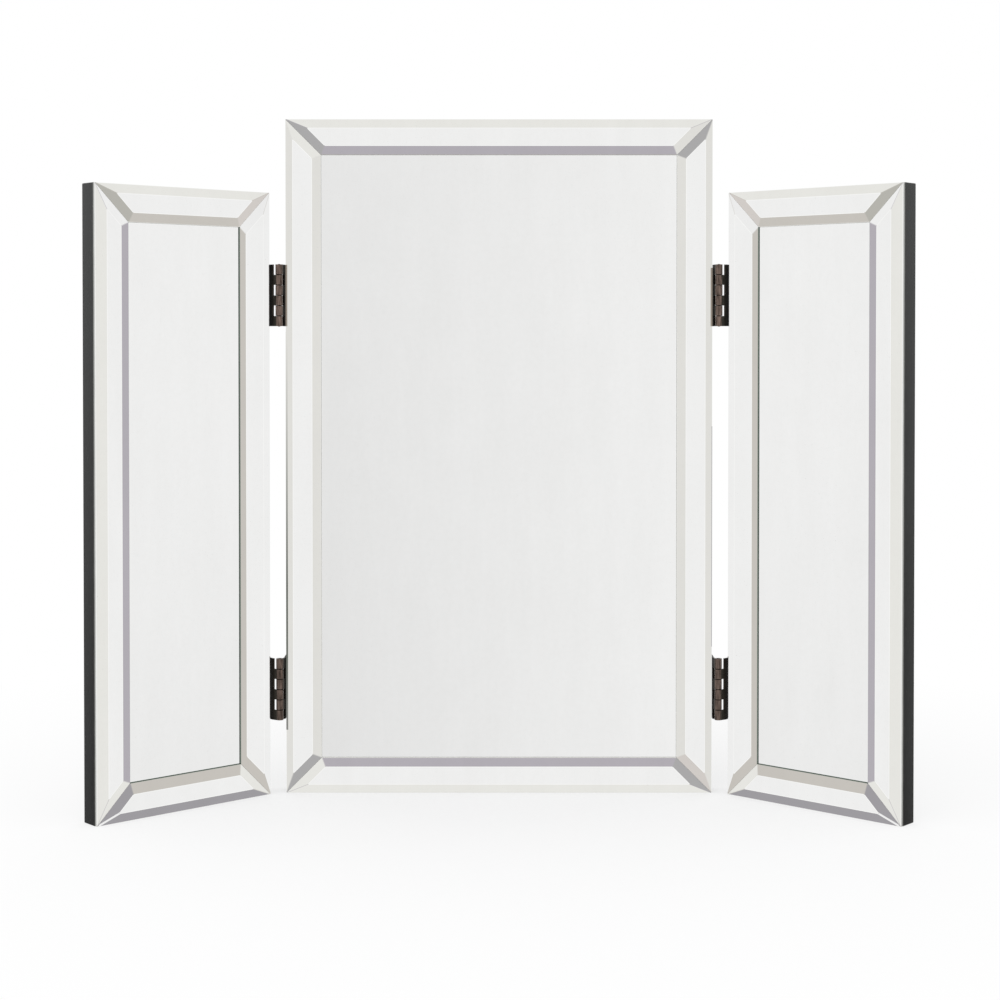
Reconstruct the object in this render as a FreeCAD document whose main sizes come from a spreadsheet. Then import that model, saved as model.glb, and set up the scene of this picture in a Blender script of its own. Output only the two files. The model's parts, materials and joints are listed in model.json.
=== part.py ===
import FreeCAD, Part
import os
import Sketcher

# Dressing table mirror: a tall centre panel with a shorter wing hung on each side by two butt hinges.
# Millimetres, +Z up, +X to the viewer's right, the mirrors face -Y. The origin is the middle of the
# centre board's bottom face. The wings stand folded forward by wing_angle.

SIZES = (
    ("centre_width", 348.0, "centre board, side to side"),
    ("centre_height", 550.0, "centre board, bottom to top"),
    ("wing_width", 160.0, "wing board, hinge side to outer side"),
    ("wing_height", 490.0, "wing board, bottom to top"),
    ("wing_angle", 41.5, "how far the wings stand forward of flat, degrees"),
    ("board_thickness", 16.0, "all three boards"),
    ("glass_setback", 0.25, "board edge to glass edge"),
    ("plate_thickness", 2.0, "plain mirror plates"),
    ("strip_thickness", 5.0, "bevelled mirror strips, at the flat"),
    ("strip_width", 29.0, "bevelled mirror strips, outer to inner edge"),
    ("bevel_width", 7.4, "bevels, measured across the face, where none of the next four applies"),
    ("centre_side_bevel", 6.0, "outer bevel of the centre's side strips"),
    ("wing_side_bevel", 9.3, "outer bevel of the wings' outer strips"),
    ("wing_foot_bevel", 8.8, "inner bevel of the wings' bottom strips"),
    ("hinge_side_bevel", 4.9, "inner bevel of the wings' strips beside the hinges"),
    ("bevel_drop", 1.8, "bevels, lost from the strip's thickness at its edge"),
    ("joint_gap", 0.12, "between neighbouring pieces of glass"),
    ("hinge_length", 50.0, "barrel and leaves"),
    ("hinge_above_foot", 86.5, "wing's bottom edge to the middle of the lower hinge"),
    ("hinge_below_top", 83.5, "wing's top edge to the middle of the upper hinge"),
    ("axis_aside", 4.2, "board side face to hinge axis"),
    ("axis_ahead", 10.0, "board front face to hinge axis"),
    ("barrel_diameter", 5.8, "knuckles"),
    ("knuckle_gap", 0.12, "end play between knuckles"),
    ("knuckle_relief", 0.6, "other leaf's knuckle to the edge of the cut-out beside it"),
    ("pin_diameter", 3.0, "hinge pin"),
    ("pin_clearance", 0.05, "pin in its bore, on the radius"),
    ("pin_end", 0.4, "pin standing out of the barrel at each end"),
    ("pin_round", 1.2, "rounding of the pin's ends"),
    ("leaf_thickness", 1.4, "hinge leaves"),
    ("leaf_reach", 22.0, "hinge axis to the leaf's back edge"),
    ("crank_length", 4.5, "slanting neck between barrel and leaf"),
    ("screw_pitch", 17.0, "between the screws of a leaf"),
    ("screw_edge", 5.5, "leaf's back edge to its screws"),
    ("screw_shank", 2.8, "wood screw"),
    ("screw_head", 5.0, "wood screw, flush countersunk at 90 degrees"),
    ("screw_length", 14.0, "wood screw, head included"),
    ("screw_point", 3.0, "tapering end of the screw"),
    ("screw_clearance", 0.05, "screw in its hole, on the radius"),
    ("recess_width", 0.7, "arms of the cross recess in the screw head"),
    ("recess_length", 2.8, "cross recess, tip to tip"),
    ("recess_depth", 0.7, "cross recess"),
    ("pilot_spare", 0.5, "pilot hole beyond the screw's point"),
)
KNUCKLES = 6
SCREW_STEPS = (-1, 0, 1)
TOUCHING = 1e-4

doc = FreeCAD.newDocument("dressing_table_mirror")
sheet = doc.addObject("Spreadsheet::Sheet", "Sizes")
for row, (alias, size, note) in enumerate(SIZES, start=1):
    sheet.set(f"A{row}", note)
    sheet.set(f"B{row}", str(size))
    sheet.setAlias(f"B{row}", alias)
doc.recompute()


def named(text):
    """Write the size names in a formula as references to the sheet."""
    for alias, _, _ in SIZES:
        text = text.replace(f"[{alias}]", f"Sizes.{alias}")
    return text


def value(text):
    """The number that a formula comes to."""
    return float(sheet.evalExpression(named(text)))


# Hinge axes and hinge positions
AXIS_X = "([centre_width] / 2 + [axis_aside])"
AXIS_Y = "(-[board_thickness] / 2 - [axis_ahead])"
HINGE_FOOT = {
    "lower": "([hinge_above_foot] - [hinge_length] / 2)",
    "upper": "([wing_height] - [hinge_below_top] - [hinge_length] / 2)",
}
SIDES = {"left": -1, "right": 1}


class Panel:
    """Outline and position of one mirror panel, in formulas."""

    def __init__(self, name, side, x_low, x_high, height, front, edges):
        self.name = name
        self.side = side
        self.x_low = x_low
        self.x_high = x_high
        self.height = height
        self.front = front
        self.low_edge, self.high_edge = edges

    def place(self, item):
        """Stand a piece drawn in the panel's own frame where the panel is."""
        if self.side == 0:
            item.setExpression("Placement.Base.y", named("-[board_thickness] / 2"))
        else:
            swing(item, self.side, "0")


def swing(item, side, foot):
    """Put a wing's piece on its hinge axis and fold it forward."""
    item.Placement = FreeCAD.Placement(FreeCAD.Vector(), FreeCAD.Rotation(FreeCAD.Vector(0, 0, -side), 1))
    stand_on_axis(item, side, foot)
    item.setExpression("Placement.Rotation.Angle", named("[wing_angle]"))


def stand_on_axis(item, side, foot):
    """Put a piece on a hinge axis, its foot at the given height."""
    item.setExpression("Placement.Base.x", named(f"{side} * {AXIS_X}"))
    item.setExpression("Placement.Base.y", named(AXIS_Y))
    item.setExpression("Placement.Base.z", named(foot))


CENTRE = Panel("centre", 0, "(-[centre_width] / 2)", "([centre_width] / 2)", "[centre_height]", "0",
               ("left", "right"))
LEFT_WING = Panel("left_wing", -1, "(-[axis_aside] - [wing_width])", "(-[axis_aside])", "[wing_height]",
                  "[axis_ahead]", ("outer", "inner"))
RIGHT_WING = Panel("right_wing", 1, "[axis_aside]", "([axis_aside] + [wing_width])", "[wing_height]",
                   "[axis_ahead]", ("inner", "outer"))


# Drawing helpers
def new_body(label):
    body = doc.addObject("PartDesign::Body", label)
    body.Label = label
    return body


def add_sketch(body, name, plane, offset):
    """Sketch on one of the body's origin planes, moved along the plane's normal."""
    sketch = body.newObject("Sketcher::SketchObject", name)
    support = next(item for item in body.Origin.OriginFeatures if item.Role == plane)
    sketch.AttachmentSupport = [(support, "")]
    sketch.MapMode = "FlatFace"
    sketch.setExpression("AttachmentOffset.Base.z", named(offset))
    return sketch


def bind(sketch, constraint, formula):
    number = sketch.addConstraint(constraint)
    sketch.setExpression(f"Constraints[{number}]", named(formula))


def hold_point(sketch, line, end, across, up):
    """Hold a point of the sketch at two formulas, measured from the sketch's origin."""
    bind(sketch, Sketcher.Constraint("DistanceX", -1, 1, line, end, value(across)), across)
    bind(sketch, Sketcher.Constraint("DistanceY", -1, 1, line, end, value(up)), up)


def add_polygon(sketch, corners):
    points = [FreeCAD.Vector(value(across), value(up), 0) for across, up in corners]
    first = sketch.GeometryCount
    count = len(points)
    for index, point in enumerate(points):
        sketch.addGeometry(Part.LineSegment(point, points[(index + 1) % count]))
    for index in range(count):
        following = first + (index + 1) % count
        sketch.addConstraint(Sketcher.Constraint("Coincident", first + index, 2, following, 1))
    for index, (across, up) in enumerate(corners):
        hold_point(sketch, first + index, 1, across, up)


def add_rectangle(sketch, left, right, bottom, top):
    add_polygon(sketch, ((left, bottom), (right, bottom), (right, top), (left, top)))


def add_circle(sketch, across, up, diameter):
    centre = FreeCAD.Vector(value(across), value(up), 0)
    circle = sketch.addGeometry(Part.Circle(centre, FreeCAD.Vector(0, 0, 1), value(diameter) / 2))
    hold_point(sketch, circle, 3, across, up)
    bind(sketch, Sketcher.Constraint("Diameter", circle, value(diameter)), diameter)


def pad(body, sketch, length, backward=False):
    feature = body.newObject("PartDesign::Pad", sketch.Name + "Pad")
    feature.Profile = sketch
    feature.setExpression("Length", named(length))
    feature.Reversed = backward
    return feature


def pocket(body, sketch, length=None, backward=False):
    """Cut against the sketch's normal, or along it if backward; right through if no length is given."""
    feature = body.newObject("PartDesign::Pocket", sketch.Name + "Pocket")
    feature.Profile = sketch
    if length is None:
        feature.Type = "ThroughAll"
    else:
        feature.setExpression("Length", named(length))
    feature.Reversed = backward
    return feature


def screw_heights(foot):
    """Heights of a leaf's screws above the foot of the given hinge."""
    return [f"({foot} + [hinge_length] / 2 + {step} * [screw_pitch])" for step in SCREW_STEPS]


# Panels
SCREW_BACK = "([leaf_reach] - [screw_edge])"
HOLE = "([screw_shank] + 2 * [screw_clearance])"
PILOT_DEPTH = "([screw_length] - [leaf_thickness] + [pilot_spare])"


def make_board(panel):
    body = new_body(f"{panel.name}_backing_board")
    outline = add_sketch(body, "Outline", "XZ_Plane", f"-{panel.front}")
    add_rectangle(outline, panel.x_low, panel.x_high, "0", panel.height)
    pad(body, outline, "[board_thickness]", backward=True)
    hinged = []
    if panel.side >= 0:
        hinged.append((panel.x_low, True))
    if panel.side <= 0:
        hinged.append((panel.x_high, False))
    back = f"({panel.front} - [axis_ahead] + {SCREW_BACK})"
    for face, rightward in hinged:
        pilots = add_sketch(body, "Pilots", "YZ_Plane", face)
        for foot in HINGE_FOOT.values():
            for height in screw_heights(foot):
                add_circle(pilots, back, height, HOLE)
        pocket(body, pilots, PILOT_DEPTH, backward=rightward)
    panel.place(body)
    return body


def make_plate(panel):
    body = new_body(f"{panel.name}_mirror_plate")
    outline = add_sketch(body, "Outline", "XZ_Plane", f"-{panel.front}")
    margin = "([glass_setback] + [strip_width] + [joint_gap])"
    add_rectangle(outline, f"{panel.x_low} + {margin}", f"{panel.x_high} - {margin}",
                  margin, f"{panel.height} - {margin}")
    pad(body, outline, "[plate_thickness]")
    panel.place(body)
    return body


def strip_corners(panel, edge):
    """Corners of a strip with both ends cut at 45 degrees, half a joint gap back from the mitre line."""
    near = "[glass_setback]"
    far = "([glass_setback] + [strip_width])"
    mitre = "[joint_gap] / sqrt(2)"
    left_near = f"{panel.x_low} + {near}"
    left_far = f"{panel.x_low} + {far}"
    right_near = f"{panel.x_high} - {near}"
    right_far = f"{panel.x_high} - {far}"
    top_near = f"{panel.height} - {near}"
    top_far = f"{panel.height} - {far}"
    if edge == "top":
        return ((f"{left_near} + {mitre}", top_near), (f"{left_far} + {mitre}", top_far),
                (f"{right_far} - {mitre}", top_far), (f"{right_near} - {mitre}", top_near))
    if edge == "bottom":
        return ((f"{left_near} + {mitre}", near), (f"{right_near} - {mitre}", near),
                (f"{right_far} - {mitre}", far), (f"{left_far} + {mitre}", far))
    if edge == "low":
        return ((left_near, f"{near} + {mitre}"), (left_far, f"{far} + {mitre}"),
                (left_far, f"{top_far} - {mitre}"), (left_near, f"{top_near} - {mitre}"))
    return ((right_near, f"{near} + {mitre}"), (right_near, f"{top_near} - {mitre}"),
            (right_far, f"{top_far} - {mitre}"), (right_far, f"{far} + {mitre}"))


def bevel_widths(panel, place_name):
    """Widths of a strip's outer and inner bevels."""
    outer = inner = "[bevel_width]"
    if place_name in ("left", "right"):
        outer = "[centre_side_bevel]"
    if place_name == "outer":
        outer = "[wing_side_bevel]"
    if place_name == "inner":
        inner = "[hinge_side_bevel]"
    if place_name == "bottom" and panel.side != 0:
        inner = "[wing_foot_bevel]"
    return outer, inner


def bevel_wedges(panel, edge, place_name):
    """Sections of the glass ground off a strip's outer and inner edges, as (across, level) corners."""
    border, inward = {"low": (panel.x_low, 1), "high": (panel.x_high, -1),
                      "bottom": ("0", 1), "top": (panel.height, -1)}[edge]
    outer_line = f"({border} + {inward} * [glass_setback])"
    inner_line = f"({border} + {inward} * ([glass_setback] + [strip_width]))"
    outer, inner = bevel_widths(panel, place_name)
    face = f"({panel.front} - [strip_thickness])"
    return [((line, face), (f"{line} + {way} * {width}", face), (line, f"{face} + [bevel_drop]"))
            for line, way, width in ((outer_line, inward, outer), (inner_line, -inward, inner))]


def make_strip(panel, edge):
    """Mitred strip of glass with a bevel ground along each of its four front edges."""
    place_name = {"low": panel.low_edge, "high": panel.high_edge}.get(edge, edge)
    body = new_body(f"{panel.name}_{place_name}_strip")
    outline = add_sketch(body, "Outline", "XZ_Plane", f"-{panel.front}")
    add_polygon(outline, strip_corners(panel, edge))
    slab = pad(body, outline, "[strip_thickness]")
    doc.recompute()
    face_y = value(f"{panel.front} - [strip_thickness]")
    mitres = [f"Edge{number}" for number, rim in enumerate(slab.Shape.Edges, start=1)
              if all(abs(corner.Y - face_y) < TOUCHING for corner in rim.Vertexes)
              and min(rim.BoundBox.XLength, rim.BoundBox.ZLength) > TOUCHING]
    ends = body.newObject("PartDesign::Chamfer", "EndBevels")
    ends.Base = (slab, mitres)
    ends.ChamferType = "Two distances"
    ends.setExpression("Size", named("[bevel_drop]"))
    ends.setExpression("Size2", named("[bevel_width]"))
    upright = edge in ("low", "high")
    plane, offset = ("XY_Plane", "0") if upright else ("YZ_Plane", panel.x_low)
    wedges = add_sketch(body, "Wedges", plane, offset)
    for wedge in bevel_wedges(panel, edge, place_name):
        add_polygon(wedges, wedge if upright else [(level, across) for across, level in wedge])
    pocket(body, wedges, backward=True)
    panel.place(body)
    return body


def make_panel(panel):
    pieces = [make_board(panel), make_plate(panel)]
    for edge in ("top", "bottom", "low", "high"):
        pieces.append(make_strip(panel, edge))
    return pieces


# Hinges
LEAF_FACE = "([axis_aside] - [leaf_thickness])"


def make_leaf(label, side, knuckles):
    """Hinge leaf reaching to the given side, keeping the listed knuckles, counted from the top."""
    body = new_body(label)
    barrel = add_sketch(body, "Barrel", "XY_Plane", "0")
    add_circle(barrel, "0", "0", "[barrel_diameter]")
    pad(body, barrel, "[hinge_length]")

    radius = "[barrel_diameter] / 2"
    section = add_sketch(body, "Section", "XY_Plane", "0")
    corners = ((f"{radius} - [leaf_thickness]", "0"), (radius, "0"), ("[axis_aside]", "[crank_length]"),
               ("[axis_aside]", "[leaf_reach]"), (LEAF_FACE, "[leaf_reach]"), (LEAF_FACE, "[crank_length]"))
    add_polygon(section, [(f"{side} * ({across})", back) for across, back in corners])
    pad(body, section, "[hinge_length]")

    bore = add_sketch(body, "Bore", "XY_Plane", "0")
    add_circle(bore, "0", "0", "[pin_diameter] + 2 * [pin_clearance]")
    pocket(body, bore, backward=True)

    reliefs = add_sketch(body, "Reliefs", "XZ_Plane", f"-({radius} + [knuckle_relief])")
    span = "2 * [barrel_diameter]"
    for number in range(1, KNUCKLES + 1):
        if number in knuckles:
            continue
        spare_below = "[hinge_length]" if number == KNUCKLES else "[knuckle_gap] / 2"
        spare_above = "[hinge_length]" if number == 1 else "[knuckle_gap] / 2"
        bottom = f"[hinge_length] * {KNUCKLES - number} / {KNUCKLES} - {spare_below}"
        top = f"[hinge_length] * {KNUCKLES - number + 1} / {KNUCKLES} + {spare_above}"
        add_rectangle(reliefs, f"-{span}", span, bottom, top)
    pocket(body, reliefs, backward=True)

    centres = add_sketch(body, "ScrewCentres", "YZ_Plane", f"{side} * {LEAF_FACE}")
    for height in screw_heights("0"):
        add_circle(centres, SCREW_BACK, height, HOLE)
    doc.recompute()
    holes = body.newObject("PartDesign::Hole", "ScrewHoles")
    holes.Profile = centres
    holes.ThreadType = "None"
    holes.DepthType = "ThroughAll"
    holes.setExpression("Diameter", named(HOLE))
    holes.HoleCutType = "Countersink"
    holes.setExpression("HoleCutDiameter", named("[screw_head] + 2 * [screw_clearance]"))
    holes.HoleCutCountersinkAngle = 90
    holes.Reversed = side > 0
    return body


def make_pin(label):
    body = new_body(label)
    section = add_sketch(body, "Section", "XY_Plane", "-[pin_end]")
    add_circle(section, "0", "0", "[pin_diameter]")
    rod = pad(body, section, "[hinge_length] + 2 * [pin_end]")
    doc.recompute()
    rims = [f"Edge{number}" for number, rim in enumerate(rod.Shape.Edges, start=1)
            if len(rim.Vertexes) == 1]
    rounding = body.newObject("PartDesign::Fillet", "Rounding")
    rounding.Base = (rod, rims)
    rounding.setExpression("Radius", named("[pin_round]"))
    return body


def make_hinge(side_name, level):
    side = SIDES[side_name]
    name = f"{side_name}_{level}_hinge"
    foot = HINGE_FOOT[level]
    centre_leaf = make_leaf(f"{name}_centre_leaf", -side, (1, 3, 5))
    stand_on_axis(centre_leaf, side, foot)
    wing_leaf = make_leaf(f"{name}_wing_leaf", side, (2, 4, 6))
    swing(wing_leaf, side, foot)
    pin = make_pin(f"{name}_pin")
    stand_on_axis(pin, side, foot)
    return [centre_leaf, wing_leaf, pin]


# Screws
def make_screw():
    """One wood screw along +X, the top of its head at the origin."""
    head = value("[screw_head] / 2")
    shank = value("[screw_shank] / 2")
    length = value("[screw_length]")
    taper = length - value("[screw_point]")
    outline = ((0, 0), (0, head), (head - shank, shank), (taper, shank), (length, 0), (0, 0))
    profile = Part.Face(Part.makePolygon([FreeCAD.Vector(along, out, 0) for along, out in outline]))
    screw = profile.revolve(FreeCAD.Vector(), FreeCAD.Vector(1, 0, 0), 360)
    width = value("[recess_width]")
    reach = value("[recess_length]")
    depth = value("[recess_depth]")
    upright = Part.makeBox(depth, width, reach, FreeCAD.Vector(0, -width / 2, -reach / 2))
    level = Part.makeBox(depth, reach, width, FreeCAD.Vector(0, -reach / 2, -width / 2))
    return screw.cut(upright.fuse(level))


def make_screws(label, panel, leaf_sides):
    """All the screws of one panel, each head flush in its leaf."""
    turn = FreeCAD.Rotation(FreeCAD.Vector(0, 0, 1), 180)
    screws = []
    for side, head_x in leaf_sides:
        for foot in HINGE_FOOT.values():
            for height in screw_heights(foot):
                screw = make_screw()
                spot = FreeCAD.Vector(value(head_x), value(f"{panel.front} - [axis_ahead] + {SCREW_BACK}"),
                                      value(height))
                screw.Placement = FreeCAD.Placement(spot, turn if side < 0 else FreeCAD.Rotation())
                screws.append(screw)
    group = doc.addObject("Part::Feature", label)
    group.Label = label
    group.Shape = Part.makeCompound(screws)
    panel.place(group)
    return group


pieces = make_panel(CENTRE) + make_panel(LEFT_WING) + make_panel(RIGHT_WING)
for side_name in SIDES:
    for level in HINGE_FOOT:
        pieces += make_hinge(side_name, level)
BESIDE_CENTRE = "([centre_width] / 2 + [leaf_thickness])"
pieces.append(make_screws("centre_hinge_screws", CENTRE, ((1, f"-{BESIDE_CENTRE}"), (-1, BESIDE_CENTRE))))
pieces.append(make_screws("left_wing_hinge_screws", LEFT_WING, ((-1, f"-{LEAF_FACE}"),)))
pieces.append(make_screws("right_wing_hinge_screws", RIGHT_WING, ((1, LEAF_FACE),)))
doc.recompute()

os.makedirs("parts", exist_ok=True)
for item in doc.Objects:
    if "Invalid" in item.State or "Error" in item.State:
        raise RuntimeError(f"{item.Label} did not compute: {item.State}")
for piece in pieces:
    if piece.Shape.isNull() or not piece.Shape.isValid():
        raise RuntimeError(f"{piece.Label} has no valid shape")
    piece.Shape.exportStep(f"parts/{piece.Label}.step")
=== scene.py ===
import json
import math

import bmesh
import bpy
from mathutils import Matrix, Vector

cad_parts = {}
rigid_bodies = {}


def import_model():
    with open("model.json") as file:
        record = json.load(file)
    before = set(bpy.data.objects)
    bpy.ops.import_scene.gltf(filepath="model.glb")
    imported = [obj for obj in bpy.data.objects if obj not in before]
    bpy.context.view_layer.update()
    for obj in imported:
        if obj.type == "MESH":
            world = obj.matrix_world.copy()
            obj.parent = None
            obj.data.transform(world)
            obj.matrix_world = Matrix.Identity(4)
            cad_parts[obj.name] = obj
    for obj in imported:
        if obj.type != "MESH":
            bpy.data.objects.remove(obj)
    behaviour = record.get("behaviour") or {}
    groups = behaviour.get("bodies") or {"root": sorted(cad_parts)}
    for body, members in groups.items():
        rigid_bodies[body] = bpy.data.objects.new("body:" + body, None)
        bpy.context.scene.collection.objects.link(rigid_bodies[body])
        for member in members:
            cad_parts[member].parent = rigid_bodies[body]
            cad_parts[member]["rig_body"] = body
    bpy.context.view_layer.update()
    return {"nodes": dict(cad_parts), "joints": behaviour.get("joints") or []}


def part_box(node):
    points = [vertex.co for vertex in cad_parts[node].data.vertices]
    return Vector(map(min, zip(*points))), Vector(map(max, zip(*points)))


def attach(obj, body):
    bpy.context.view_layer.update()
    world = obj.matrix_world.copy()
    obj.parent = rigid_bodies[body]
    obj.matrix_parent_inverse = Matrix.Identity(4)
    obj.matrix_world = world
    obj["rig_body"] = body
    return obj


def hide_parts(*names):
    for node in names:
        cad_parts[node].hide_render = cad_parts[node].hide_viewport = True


# Dressing table mirror: mirror strips with ground bevels, plain mirror plates, charcoal boards and
# antique bronze hinges, in a plain white studio. Metres, in the frame of the solids.

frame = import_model()

MM = 0.001
# How far the wings stand forward at rest
WING_ANGLE = math.radians(41.5)

# Each panel's own frame has its mirrors facing -Y, +X to the right and +Z up.
# A wing's frame is on its hinge axis.
panel_frames = {"centre": Matrix.Identity(4)}
hinge_feet = {}
for joint in frame["joints"]:
    foot = Matrix.Translation((joint["pos_m"][0], joint["pos_m"][1], 0.0))
    turn = Matrix.Rotation(WING_ANGLE * joint["axis"][2], 4, "Z")
    hinge_feet[joint["child"]] = foot
    panel_frames[joint["child"]] = foot @ turn


# Node helpers
def connect(tree, socket, given):
    """Link a socket from another one, or give it a value."""
    if isinstance(given, bpy.types.NodeSocket):
        tree.links.new(given, socket)
    else:
        socket.default_value = given


def add(tree, kind, inputs=None, **settings):
    """New node with its settings and inputs."""
    made = tree.nodes.new(kind)
    for name, setting in settings.items():
        setattr(made, name, setting)
    for name, given in (inputs or {}).items():
        connect(tree, made.inputs[name], given)
    return made


def remap(tree, value, low=0.0, high=1.0, to_low=0.0, to_high=1.0):
    """Value carried from one range to another, held at the ends."""
    return add(tree, "ShaderNodeMapRange", {"Value": value, "From Min": low, "From Max": high,
                                            "To Min": to_low, "To Max": to_high}).outputs["Result"]


def blend(tree, factor, first, second, way="MIX"):
    """Two colours mixed, or multiplied, by a factor."""
    mixed = add(tree, "ShaderNodeMix", {0: factor, 6: first, 7: second}, data_type="RGBA", blend_type=way)
    return mixed.outputs[2]


def arithmetic(tree, operation, first, second):
    """One step of arithmetic on two numbers."""
    return add(tree, "ShaderNodeMath", {0: first, 1: second}, operation=operation).outputs[0]


def weaken(tree, mask, share):
    """A mask at a share of its strength."""
    return arithmetic(tree, "MULTIPLY", mask, share)


def new_group(kind, name, inputs, outputs):
    """Empty node group with named sockets; returns the tree, its inputs node and its outputs node."""
    group = bpy.data.node_groups.new(name, kind)
    for socket, socket_type in inputs:
        group.interface.new_socket(socket, in_out="INPUT", socket_type=socket_type)
    for socket, socket_type in outputs:
        group.interface.new_socket(socket, in_out="OUTPUT", socket_type=socket_type)
    return group, group.nodes.new("NodeGroupInput"), group.nodes.new("NodeGroupOutput")


def use_group(tree, group, inputs):
    """What a shared effect gives, with a finish's own values."""
    return add(tree, "ShaderNodeGroup", inputs, node_tree=group).outputs[0]


# Effects that several finishes share
def make_mottle():
    """Cloudy unevenness in two sizes, about 0 to 1."""
    times_finer = 9.0
    group, given, out = new_group(
        "ShaderNodeTree", "mottle",
        (("Vector", "NodeSocketVector"), ("Scale", "NodeSocketFloat"), ("Fine", "NodeSocketFloat")),
        (("Value", "NodeSocketFloat"),))
    broad = add(group, "ShaderNodeTexNoise", {"Vector": given.outputs["Vector"],
                                              "Scale": given.outputs["Scale"], "Detail": 3.0})
    fine_scale = arithmetic(group, "MULTIPLY", given.outputs["Scale"], times_finer)
    fine = add(group, "ShaderNodeTexNoise", {"Vector": given.outputs["Vector"], "Scale": fine_scale,
                                             "Detail": 2.0})
    share = add(group, "ShaderNodeMix", {0: given.outputs["Fine"], 2: broad.outputs["Fac"],
                                         3: fine.outputs["Fac"]})
    value = remap(group, share.outputs[0], low=0.3, high=0.7)
    group.links.new(value, out.inputs["Value"])
    return group


def make_dust():
    """Scattered specks of dust, 1 on a speck, thicker in some patches than in others."""
    group, given, out = new_group(
        "ShaderNodeTree", "dust",
        (("Vector", "NodeSocketVector"), ("Scale", "NodeSocketFloat"), ("Amount", "NodeSocketFloat")),
        (("Mask", "NodeSocketFloat"),))
    cells = add(group, "ShaderNodeTexVoronoi", {"Vector": given.outputs["Vector"],
                                                "Scale": given.outputs["Scale"]})
    patches = add(group, "ShaderNodeTexNoise", {"Vector": given.outputs["Vector"], "Scale": 14.0})
    reach = arithmetic(group, "MULTIPLY", patches.outputs["Fac"], given.outputs["Amount"])
    speck = arithmetic(group, "LESS_THAN", cells.outputs["Distance"], reach)
    group.links.new(speck, out.inputs["Mask"])
    return group


def make_wear():
    """Rubbed edges: where the piece marks an edge, broken up by noise."""
    group, given, out = new_group(
        "ShaderNodeTree", "edge_wear",
        (("Vector", "NodeSocketVector"), ("Edge", "NodeSocketFloat"), ("Scale", "NodeSocketFloat")),
        (("Mask", "NodeSocketFloat"),))
    noise = add(group, "ShaderNodeTexNoise", {"Vector": given.outputs["Vector"],
                                              "Scale": given.outputs["Scale"], "Detail": 4.0})
    broken = remap(group, noise.outputs["Fac"], low=0.38, high=0.62, to_low=0.25)
    mask = arithmetic(group, "MULTIPLY", broken, given.outputs["Edge"])
    group.links.new(mask, out.inputs["Mask"])
    return group


mottle = make_mottle()
dust = make_dust()
edge_wear = make_wear()

# Finishes
WHITE = (1.0, 1.0, 1.0, 1.0)
FILM_ON_GLASS = (0.955, 0.955, 0.952, 1.0)
DUST_ON_GLASS = (0.62, 0.61, 0.59, 1.0)
GRINDING_MARK = (0.72, 0.72, 0.72, 1.0)
DUST_ON_EDGE = (0.5, 0.5, 0.48, 1.0)
DEEP_PAINT = (0.006, 0.006, 0.006, 1.0)
PALER_PAINT = (0.059, 0.060, 0.059, 1.0)
SCUFFED_PAINT = (0.105, 0.100, 0.094, 1.0)
DUST_ON_PAINT = (0.2, 0.195, 0.185, 1.0)
RUBBED_BRONZE = (0.26, 0.195, 0.145, 1.0)
LOW_SHADE_BRONZE = (0.020, 0.015, 0.012, 1.0)
BLACK_GRIME_AND_SHADE = (0.007, 0.006, 0.005, 1.0)
# Heights between which the paint gets paler towards the top as painted light, and those between which
# painted shade on the bronze dies away upwards
PAINT_LIGHT_HEIGHTS = (0.0, 0.5)
BRONZE_SHADE_HEIGHTS = (0.12, 0.40)
GLASS_IOR = 1.52


def new_finish(name):
    """Material with a Principled shader; returns it, its tree, the shader and Object coordinates."""
    material = bpy.data.materials.new(name)
    material.use_nodes = True
    tree = material.node_tree
    tree.nodes.clear()
    shader = add(tree, "ShaderNodeBsdfPrincipled")
    add(tree, "ShaderNodeOutputMaterial", {"Surface": shader.outputs["BSDF"]})
    place = add(tree, "ShaderNodeTexCoord").outputs["Object"]
    return material, tree, shader, place


def attribute(tree, name, output="Fac"):
    """What the piece's own mesh says at each spot, under the given name."""
    return add(tree, "ShaderNodeAttribute", attribute_name=name).outputs[output]


def height_of(tree, place):
    """Height above the table."""
    return add(tree, "ShaderNodeSeparateXYZ", {0: place}).outputs["Z"]


def drawn_upright(tree, place, squeeze):
    """Coordinates that draw a pattern out upright, by squeezing their height."""
    return add(tree, "ShaderNodeMapping", {"Vector": place, "Scale": (1.0, 1.0, squeeze)}).outputs["Vector"]


def roughen(tree, shader, height, strength, distance):
    """Relief on a finish, from a pattern taken as height."""
    bump = add(tree, "ShaderNodeBump", {"Height": height, "Strength": strength, "Distance": distance})
    tree.links.new(bump.outputs["Normal"], shader.inputs["Normal"])


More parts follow.
